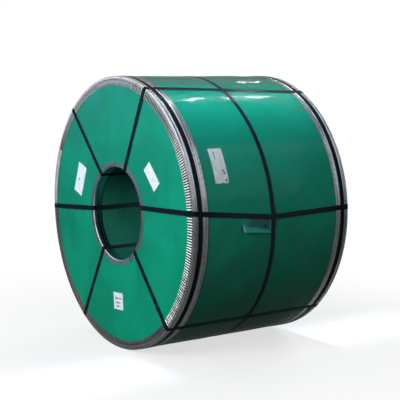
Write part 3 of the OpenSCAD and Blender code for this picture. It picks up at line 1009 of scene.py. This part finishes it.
@dataclass
class Hoop:
    """Strap round the outside, which rises over the eye straps where it crosses them."""

    name: str
    front: float
    inner_r: float
    lift: float
    skew: float = 0.0
    stations: int = 720

    def radius(self, angle: Array) -> Array:
        """Inner radius: the circle, a flat over each crossing, and tangents down from it.

        A flat at the apex height is apex / cos t, and the tangent that touches the circle at the
        angle reach is r / cos(reach - t), for the angle t from the middle of the crossing.

        Args:
            angle: Angles in radians.

        Returns:
            Radii in millimetres.
        """
        result = np.full_like(angle, self.inner_r)
        if self.lift <= 0.0:
            return result
        apex, half = self.inner_r + self.lift, SIZES.strap_w / 2.0 + SIZES.fit_gap
        corner = math.atan2(half, apex)
        reach = corner + math.acos(self.inner_r / math.hypot(apex, half))
        for index in range(len(SIZES.eye_angles)):
            t = np.abs((angle - math.radians(SIZES.crossing(index)) + np.pi) % FULL_TURN - np.pi)
            line = np.where(t <= corner, apex / np.cos(t), self.inner_r / np.cos(reach - np.minimum(t, reach)))
            result = np.where(t < reach, np.maximum(result, line), result)
        return result

    def build(self, finishes: Finishes) -> None:
        """Carry the strap's section round the axis, in a plane that leans to the front at the top.

        The plane is front = tan(tilt) times the height, with tan(tilt) = skew / inner radius.
        """
        angle = np.linspace(0.0, FULL_TURN, self.stations + 1)
        across, depth = strap_section()
        radius = self.radius(angle[:-1])[:, None] + SIZES.strap_t * depth[None, :]
        tilt = math.atan2(self.skew, self.inner_r)
        run = math.tan(tilt) * radius * np.sin(angle[:-1, None])
        points = place(radius, angle[:-1, None], self.front + run + across[None, :] / math.cos(tilt))
        widths = np.append(across, across[0]) * MM
        patch = ring_patch(points, angle * self.inner_r * MM, widths)
        make_piece(f"strap_{self.name}", patch, finishes.strap, [self.name])


@dataclass
class EyeStrap:
    """Strap through the bore and round the outside, over both ends.

    Attributes:
        held_half: Half length over which the middle hoop holds the strap.
        slack: Share of its pull that the first strap follows.
    """

    index: int
    arc_points: int = 7
    run_step: float = 12.0
    held_half: float = 9.0
    slack: float = 0.985

    def centres(self) -> Array:
        """Radius and length of the bends' centres, anticlockwise from the front outer bend."""
        bend = SIZES.strap_bend
        eye_z = SIZES.flange_z + SIZES.fit_gap
        front = [(SIZES.eye_in - bend, eye_z - bend)]
        if SIZES.eye_on_pleats[self.index]:
            crest = eye_z + SIZES.pleat_h - bend
            front += [(SIZES.pleat_top_r, crest), (SIZES.flange_tip, crest)]
        front.append((SIZES.eye_bore_r + bend, eye_z - bend + SIZES.guard_t))
        ring = np.array(front)
        return np.concatenate([ring, ring[::-1] * [1.0, -1.0]])

    def path(self) -> tuple[Array, Array]:
        """Points of the centre ring and unit normals that carry the strap round its loop.

        Each bend is an arc about its centre between the normals of the two runs beside it, and
        each run between two bends is cut into short steps.

        Returns:
            Centres and normals, one row a station.
        """
        ring = self.centres()
        ahead = np.roll(ring, -1, axis=0) - ring
        facing = np.arctan2(ahead[:, 1], ahead[:, 0]) - np.pi / 2.0
        spots, normals = [], []
        for k in range(len(ring)):
            before = facing[k - 1]
            turn = (facing[k] - before) % FULL_TURN
            bend = before + turn * np.linspace(0.0, 1.0, self.arc_points)
            run = max(2, int(np.hypot(*ahead[k]) / self.run_step))
            spots += [np.repeat(ring[k:k + 1], self.arc_points, axis=0),
                      ring[k] + ahead[k] * np.linspace(0.0, 1.0, run + 1)[1:-1, None]]
            angles = np.concatenate([bend, np.full(run - 1, facing[k])])
            normals.append(np.stack([np.cos(angles), np.sin(angles)], axis=-1))
        return np.concatenate(spots), np.concatenate(normals)

    def aside(self, radius: Array, front: Array) -> Array:
        """Sideways offset of the strap: it leans on the ends, and is pulled and drops on the mantle.

        On the mantle it runs straight from the front end to the middle hoop and on to the rear
        end. On each end it runs straight from there to its place in the bore.

        Args:
            radius: Radii along the strap in millimetres.
            front: Lengths along the axis in millimetres.

        Returns:
            Offsets in millimetres.
        """
        near, far = SIZES.eye_bore_r + SIZES.strap_bend, SIZES.eye_in - SIZES.strap_bend
        drop, lean = SIZES.eye_drops[self.index], SIZES.eye_leans[self.index]
        held = -(self.slack if self.index == 0 else 1.0) * SIZES.pull(self.index)
        stops = (-SIZES.half_w, SIZES.hoop_shift - self.held_half, SIZES.hoop_shift + self.held_half, SIZES.half_w)
        mantle = np.interp(front, stops, (-drop, held, held, 0.0))
        inward = np.clip((far - radius) / (far - near), 0.0, 1.0)
        rim = np.where(front > 0.0, 0.0, -drop)
        ends = rim + (lean - rim) * inward
        return np.where(radius > far, mantle, ends)

    def build(self, finishes: Finishes) -> None:
        """Carry the strap's section round the loop, moved aside as the strap runs aslant."""
        spots, normals = self.path()
        across, depth = strap_section()
        reach = SIZES.strap_bend + SIZES.strap_t * depth
        section = spots[:, None, :] + normals[:, None, :] * reach[None, :, None]
        shift = across[None, :] + self.aside(section[..., 0], section[..., 1])
        angle = math.radians(SIZES.eye_angles[self.index]) + np.arcsin(shift / section[..., 0])
        points = place(section[..., 0], angle, section[..., 1])
        middle = spots + normals * SIZES.strap_bend
        along = run_lengths(np.concatenate([middle, middle[:1]])) * MM
        patch = ring_patch(points, along, np.append(across, across[0]) * MM)
        name = f"eye_strap_{self.index + 1}"
        make_piece(f"strap_{name}", patch, finishes.strap, [name])


def make_label(
    name: str, faces: list[Array], shares: tuple[Array, Array], size: Pair,
    paper: Colour, bars: Quads
) -> None:
    """Close two faces into a paper label and make it a piece.

    Args:
        name: Name of the label's CAD node.
        faces: Grids of points of the outer and the inner face.
        shares: Places of the grid lines along the width and the length, from nought to one.
        size: Width and length in millimetres.
        paper: Colour of the paper.
        bars: Boxes of print in shares of the sheet.
    """
    patch = sheet_patch(faces[0], faces[1], shares[0] * size[0] * MM, shares[1] * size[1] * MM)
    make_piece(f"paper_{name}", patch, LabelPaper(f"{name}_paper", paper, size, bars).material(), [name])


@dataclass
class EndLabel:
    """Label on the front end, which follows the slack sheet and curls at its corners."""

    name: str
    share: float
    angle: float
    tilt: float
    width: float
    length: float
    paper: Colour
    bars: Quads = ()
    thickness: float = 0.4
    curl: float = 1.2
    corner_power: int = 6
    grid: tuple[int, int] = (22, 34)

    def build(self, cover: EndCover) -> None:
        """Lay a grid of the label's width and length on the cover and lift its corners."""
        u, v = (np.linspace(0.0, 1.0, count) for count in self.grid)
        x, y = np.meshgrid((u - 0.5) * self.width, (v - 0.5) * self.length, indexing="ij")
        turn, spot = math.radians(self.tilt), math.radians(self.angle)
        px = self.share * SIZES.coil_r * math.cos(spot) + x * math.cos(turn) - y * math.sin(turn)
        py = self.share * SIZES.coil_r * math.sin(spot) + x * math.sin(turn) + y * math.cos(turn)
        radius, angle = np.hypot(px, py), np.arctan2(py, px)
        across, along = ((2.0 * np.abs(line - 0.5)) ** self.corner_power for line in (u, v))
        low = cover.height(radius, angle) + SIZES.fit_gap + self.curl * across[:, None] * along[None, :]
        faces = [place(radius, angle, low + depth) for depth in (self.thickness, 0.0)]
        make_label(self.name, faces, (u, v), (self.width, self.length), self.paper, self.bars)


@dataclass
class WrapLabel:
    """Label bent round the mantle beside the front guard, ragged at its lower edge."""

    angle: float = 23.7
    width: float = 97.0
    length: float = 222.0
    front: float = 370.6
    thickness: float = 0.4
    ragged_h: float = 7.0
    ragged_waves: Pair = (9.0, 21.0)
    grid: tuple[int, int] = (24, 40)
    paper: Colour = (0.70, 0.77, 0.80, 1.0)
    bars: Quads = (
        (0.63, 0.70, 0.68, 0.91), (0.20, 0.36, 0.33, 0.385), (0.12, 0.28, 0.25, 0.32), (0.08, 0.22, 0.046, 0.123))

    def build(self, mantle: Mantle) -> None:
        """Lay a grid on the buckled mantle and let its lower edge wander."""
        u, v = (np.linspace(0.0, 1.0, count) for count in self.grid)
        front = self.front + (u - 0.5) * self.width
        slow, fast = self.ragged_waves
        ragged = self.ragged_h * (0.5 + 0.5 * np.sin(slow * u + 1.0) * np.cos(fast * u))
        drop = (v - 0.5)[None, :] * self.length + (ragged[:, None] * (1.0 - v[None, :]) ** 3)
        angle = math.radians(self.angle) + drop / SIZES.wrap_r
        low = mantle.radius(angle, front[:, None]) + SIZES.fit_gap
        faces = [place(low + depth, angle, front[:, None]) for depth in (self.thickness, 0.0)]
        make_label("label_wrap", faces, (u, v), (self.width, self.length), self.paper, self.bars)


@dataclass
class WrapTab:
    """Tab of sheet below the first eye strap, whose lower edge flares away from the mantle.

    Attributes:
        closed_share: Share of the lift at the closed end.
        slack_share: Share of the lift that comes before the fold.
        fold_shares: Place of the fold at the closed end and at the open one.
        stain: Place and half width of the stain, along and down.
        rim_lights: Place and half width of the painted pale rim highlights at the lip and above it.
        painted_slit_shade: Places between which the lip's open end goes over to dark, a painted shade of the
            opening.
        painted: Places between which the reverse goes over to paint, and their shift towards the fold.
        painted_share: Share of paint there.
    """

    length: float = 225.0
    height: float = 82.0
    thickness: float = 0.8
    lift: float = 20.0
    closed_share: float = 0.35
    slack_share: float = 0.2
    fold_shares: Pair = (0.75, 0.45)
    stain: Quad = (0.19, 0.035, 0.52, 0.16)
    rim_lights: Quad = (0.92, 0.025, 0.0, 0.014)
    painted_slit_shade: Pair = (0.95, 0.98)
    painted: Triple = (0.52, 0.72, 0.35)
    painted_share: float = 0.6
    grid: tuple[int, int] = (46, 41)

    def shades(self, u: Array, v: Array, lip: Array) -> dict[str, Array]:
        """Shares of paint, of dark (a stain and painted shade at the slit) and of painted pale rim highlight on the
        reverse and on the lip.

        Args:
            u: Places along the tab, as a column.
            v: Places down the tab, as a row.
            lip: Share of the lip past the fold.

        Returns:
            Grids of shares by name.
        """
        at, wide, down, high = self.stain
        stain = np.exp(-((u - at) / wide) ** 2 - ((v - down) / high) ** 2)
        # Painted shade: the lip's open end goes dark, as the opening beneath it.
        painted_slit_shade = np.where(lip > 0.0, smooth(u, *self.painted_slit_shade), 0.0)
        # Painted highlight: a pale rim on the lip near its open end, and one on the upper part at the closed end.
        lip_at, lip_w, top_at, top_w = self.rim_lights
        rim = np.where(lip > 0.0, np.exp(-((u - lip_at) / lip_w) ** 2), np.exp(-((u - top_at) / top_w) ** 2))
        first, last, shift = self.painted
        paint = self.painted_share * smooth(u - shift * v, first, last)
        # The lip share lifts the lighter green (painted light on the flared lip) over the dark primer (partly
        # painted shade).
        return {"lip": np.maximum(smooth(lip, 0.0, 0.25), paint), "stain": np.maximum(stain, painted_slit_shade), "rim": rim}

    def build(self, mantle: Mantle, finishes: Finishes) -> None:
        """Lift a grid below the strap: a little at first, then from a fold on, most at its open end.

        The fold runs aslant, so the lip is narrow at the closed end and broad at the open one.
        The lift grows with the square of the share of the lip past the fold.
        """
        u, v = (np.linspace(0.0, 1.0, count) for count in self.grid)
        front = SIZES.strap_w + self.length * u
        pull = SIZES.pull(0) * (SIZES.half_w - front) / (SIZES.half_w - SIZES.hoop_shift)
        top = math.radians(SIZES.eye_angles[0]) - np.arcsin(pull / (SIZES.eye_in + SIZES.strap_t))
        top = top - (SIZES.strap_w / 2.0 + SIZES.fit_gap) / SIZES.wrap_r
        angle = top[:, None] - self.height * v[None, :] / SIZES.wrap_r
        opening = self.closed_share + (1.0 - self.closed_share) * u ** 2
        fold = (self.fold_shares[0] + (self.fold_shares[1] - self.fold_shares[0]) * u)[:, None]
        lip = np.clip(v[None, :] - fold, 0.0, None) / (1.0 - fold)
        flare = self.slack_share * v[None, :] ** 2 + (1.0 - self.slack_share) * lip ** 2
        lift = self.lift * flare * opening[:, None]
        base = mantle.radius(angle, front[:, None]) + SIZES.fit_gap
        faces = [place(base + lift + depth, angle, front[:, None]) for depth in (self.thickness, 0.0)]
        patch = sheet_patch(faces[0], faces[1], u * self.length * MM, v * self.height * MM)
        for name, share in self.shades(u[:, None], v[None, :], lip).items():
            patch.keep(name, share)
        make_piece("green_tab", patch, finishes.tab, ["wrap_tab"])


@dataclass
class CarriedNodes:
    """CAD nodes that stay as they are and only get their finish."""

    strip: tuple[str, ...] = ("steel_coil",)
    seals: tuple[str, ...] = ("hoop_seals", "eye_seals")

    def build(self, finishes: Finishes) -> None:
        """Give each carried node its material."""
        for names, material in ((self.strip, finishes.strip), (self.seals, finishes.seal)):
            for name in names:
                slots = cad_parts[name].data.materials
                slots.clear()
                slots.append(material)
                LOG.info("%s: carried over", name)


@dataclass(frozen=True)
class PhotoCamera:
    """Camera at the photograph's viewing angle, aimed beside the coil's middle."""

    azimuth: float = 55.224
    elevation: float = 6.757
    distance: float = 6.9779
    right: float = 0.04625
    up: float = 0.04699
    lens: float = 92.197

    def build(self) -> None:
        """Place the camera and make it the scene's."""
        a, e = math.radians(self.azimuth), math.radians(self.elevation)
        back = Vector((math.sin(a) * math.cos(e), -math.cos(a) * math.cos(e), math.sin(e)))
        side = Vector((math.cos(a), math.sin(a), 0.0))
        top = back.cross(side)
        data = bpy.data.cameras.new("photo_camera")
        data.lens, data.sensor_width = self.lens, 36.0
        data.clip_start, data.clip_end = 0.1, 200.0
        camera = bpy.data.objects.new("photo_camera", data)
        middle = Vector((0.0, 0.0, SIZES.axis_z * MM))
        turn = Matrix((side, top, back)).transposed().to_4x4()
        camera.matrix_world = Matrix.Translation(
            middle + side * self.right + top * self.up + back * self.distance) @ turn
        bpy.context.scene.collection.objects.link(camera)
        bpy.context.scene.camera = camera


@dataclass(frozen=True)
class Lamp:
    """One area lamp that faces a point."""

    name: str
    spot: Triple
    aim: Triple
    size: Pair
    power: float
    colour: Triple = (1.0, 1.0, 1.0)
    spread: float = 180.0
    mirrored: bool = True
    lights: bool = True

    def build(self) -> None:
        """Place the lamp, with its long side kept level along Y where it can be."""
        data = bpy.data.lights.new(self.name, "AREA")
        data.shape, data.size, data.size_y = "RECTANGLE", self.size[0], self.size[1]
        data.energy, data.color = self.power, self.colour
        data.spread = math.radians(self.spread)
        lamp = bpy.data.objects.new(self.name, data)
        lamp.visible_glossy, lamp.visible_diffuse = self.mirrored, self.lights
        back = (Vector(self.spot) - Vector(self.aim)).normalized()
        side = Vector((0.0, 1.0, 0.0)).cross(back).normalized()
        turn = Matrix((side, back.cross(side), back)).transposed().to_4x4()
        lamp.matrix_world = Matrix.Translation(Vector(self.spot)) @ turn
        bpy.context.scene.collection.objects.link(lamp)


@dataclass
class Studio:
    """Pale floor, soft light and white surroundings."""

    sky: Colour = (0.26, 0.30, 0.34, 1.0)
    horizon: Colour = (0.16, 0.16, 0.155, 1.0)
    ground: Colour = (0.045, 0.04, 0.034, 1.0)
    white: Colour = (1.0, 1.0, 1.0, 1.0)
    glossy_share: float = 0.12
    floor_half: float = 30.0
    floor_pale: Colour = (0.88, 0.88, 0.88, 1.0)
    floor_dull: Colour = (0.08, 0.075, 0.065, 1.0)
    floor_fade: Quad = (0.9, 3.0, 0.68, 1.0)
    lamps: tuple[Lamp, ...] = (
        Lamp("key", (0.52, 0.1, 5.4), (0.52, 0.0, 1.6), (0.12, 3.4), 4.6, (0.86, 1.0, 1.2), 9.5, False),
        Lamp("fill", (2.0, -6.2, 3.0), (0.0, -0.5, 0.9), (2.4, 2.6), 440.0, (1.0, 1.0, 0.97), 180.0, False),
        Lamp("rear_fill", (-2.4, 6.0, 3.0), (0.0, 0.5, 0.9), (2.6, 2.6), 340.0, (1.0, 1.0, 1.0), 180.0, False),
        Lamp("front_top", (1.1, -3.9, 4.9), (0.3, -0.6, 1.5), (0.8, 1.6), 34.0, (0.82, 1.0, 1.3)),
        Lamp("card", (-7.0, -5.0, 2.6), (0.0, -0.6, 1.2), (3.0, 4.0), 20.0, (0.9, 1.0, 1.12)),
        Lamp("window", (-3.7, 3.4, 4.75), (0.0, 0.0, 1.7), (2.0, 3.0), 3.0),
        Lamp("side_card", (4.7, 2.6, 3.5), (0.8, -0.4, 1.2), (3.0, 2.4), 11.0, lights=False),
        Lamp("side_band", (3.4, 2.9, 5.0), (0.75, -0.4, 1.3), (0.9, 2.4), 6.0, lights=False),
        Lamp("high_card", (-0.95, 2.2, 4.9), (0.44, 0.0, 1.65), (0.8, 1.9), 4.6, lights=False),
        Lamp("tube_far", (-3.47, 3.7, 4.22), (-1.5, 1.7, 3.0), (0.03, 0.26), 1.3, lights=False),
        Lamp("tube_strap", (-1.5, 2.73, 4.5), (-1.5, 2.73, 0.0), (0.12, 0.15), 4.0, lights=False),
    )
    glint_light: float = 62.0
    glint_z: float = 4.6
    glints: Quads = (
        (-0.80, 1.87, 0.08, 0.19), (-0.84, 2.24, 0.05, 0.06), (-0.58, 2.30, 0.05, 0.06), (-0.98, 2.465, 0.04, 0.08),
        (-0.82, 2.53, 0.08, 0.08), (-0.80, 2.66, 0.09, 0.17), (-1.0, 2.765, 0.06, 0.07), (-0.98, 2.86, 0.03, 0.12),
        (-0.55, 2.97, 0.04, 0.04), (-0.20, 3.02, 0.04, 0.04), (0.20, 3.08, 0.04, 0.04))

    def white_share(self, nodes: Nodes) -> Socket:
        """Share of the plain white that a ray sees: all for camera and glass, part for gloss."""
        rays = nodes.add("LightPath", 0, {}).node.outputs
        gloss = nodes.times(rays["Is Glossy Ray"], self.glossy_share)
        total = nodes.math("ADD", rays["Is Camera Ray"], gloss)
        return nodes.math("ADD", total, rays["Is Transmission Ray"], clamp=True)

    def build_world(self) -> None:
        """Light from all round, brighter from above, in front of a white that the camera sees."""
        world = bpy.data.worlds.new("studio")
        bpy.context.scene.world = world
        nodes = Nodes(world)
        height = nodes.span(nodes.split(nodes.add("TexCoord", "Generated", {}))[2], -1.0, 1.0, 0.0, 1.0)
        light = nodes.ramp(height, [(0.0, self.ground), (0.5, self.horizon), (1.0, self.sky)])
        seen = nodes.mix(self.white_share(nodes), light, self.white)
        nodes.surface("World", nodes.add("Background", 0, {"Color": seen}))

    def build_floor(self) -> None:
        """Pale floor: keeps the shadow near the coil, goes over to white further out."""
        mesh = bpy.data.meshes.new("floor")
        h = self.floor_half
        mesh.from_pydata([(-h, -h, 0.0), (h, -h, 0.0), (h, h, 0.0), (-h, h, 0.0)], [], [(0, 1, 2, 3)])
        floor = bpy.data.objects.new("floor", mesh)
        bpy.context.scene.collection.objects.link(floor)
        material = bpy.data.materials.new("floor")
        nodes = Nodes(material)
        away = nodes.add("VectorMath", "Value", {0: nodes.add("TexCoord", "Object", {})}, operation="LENGTH")
        share = nodes.span(away, *self.floor_fade)
        share.node.interpolation_type = "SMOOTHSTEP"
        pale, dull = (nodes.add("BsdfDiffuse", 0, {"Color": tone}) for tone in (self.floor_pale, self.floor_dull))
        seen = nodes.add("MixShader", 0, {0: share, 1: pale, 2: nodes.add("Emission", 0, {})})
        both = nodes.add("MixShader", 0, {0: self.white_share(nodes), 1: dull, 2: seen})
        nodes.surface("Material", both)
        mesh.materials.append(material)

    def build(self) -> None:
        """Build world, floor, lamps and the small lights that only the gloss mirrors."""
        bpy.context.scene.view_settings.view_transform = "Standard"
        self.build_world()
        self.build_floor()
        for lamp in self.lamps:
            lamp.build()
        for k, (x, y, wide, long) in enumerate(self.glints):
            power = self.glint_light * math.pi * wide * long
            Lamp(f"glint_{k}", (x, y, self.glint_z), (x, y, 0.0), (wide, long), power, lights=False).build()


def build_guards(finishes: Finishes) -> None:
    """Build the outer guards piece by piece, and the inner guards, on both ends."""
    starts = (-47.0, 5.9, 76.0, 154.0, 183.0, 220.0, 313.0)
    pleated = (True, True, False, True, False, False)
    for end in End:
        for k, folded in enumerate(pleated):
            OuterGuard(k + 1, end, starts[k], starts[k + 1], folded).build(finishes)
        InnerGuard(end).build(finishes)


def build_straps(finishes: Finishes) -> None:
    """Build the three hoops and the six eye straps."""
    lift = SIZES.eye_in + SIZES.strap_t + SIZES.fit_gap - SIZES.middle_hoop_in
    Hoop("hoop_front", SIZES.hoop_z, SIZES.end_hoop_in, 0.0).build(finishes)
    Hoop("hoop_middle", SIZES.hoop_shift, SIZES.middle_hoop_in, lift, SIZES.hoop_skew).build(finishes)
    Hoop("hoop_rear", -SIZES.hoop_z, SIZES.end_hoop_in, 0.0).build(finishes)
    for index in range(len(SIZES.eye_angles)):
        EyeStrap(index).build(finishes)


def build_labels(cover: EndCover, mantle: Mantle) -> None:
    """Build the three labels on the front end and the one on the mantle."""
    white, lavender = (0.70, 0.77, 0.83, 1.0), (0.76, 0.86, 0.98, 1.0)
    EndLabel("label_left", 0.59, 159.0, -21.5, 108.0, 211.0, lavender, ((0.30, 0.44, 0.42, 0.50),)).build(cover)
    EndLabel("label_right", 0.578, 32.4, 43.0, 85.0, 172.0, white).build(cover)
    specks = ((0.15, 0.45, 0.62, 0.72), (0.55, 0.85, 0.62, 0.70), (0.2, 0.7, 0.36, 0.44), (0.3, 0.55, 0.14, 0.24))
    EndLabel("label_low", 0.653, -88.7, 4.5, 117.0, 112.0, white, specks).build(cover)
    WrapLabel().build(mantle)


def main() -> None:
    """Build camera, studio and every piece of the coil in order."""
    logging.basicConfig(level=logging.INFO, format="%(name)s %(message)s")
    PhotoCamera().build()
    Studio().build()
    finishes = Finishes()
    mantle, cover = Mantle(), EndCover(End.FRONT)
    CarriedNodes().build(finishes)
    mantle.build(finishes)
    cover.build(finishes)
    EndCover(End.REAR).build(finishes)
    BoreLiner().build(finishes)
    build_guards(finishes)
    build_straps(finishes)
    build_labels(cover, mantle)
    WrapTab().build(mantle, finishes)


if __name__ == "__main__":
    main()
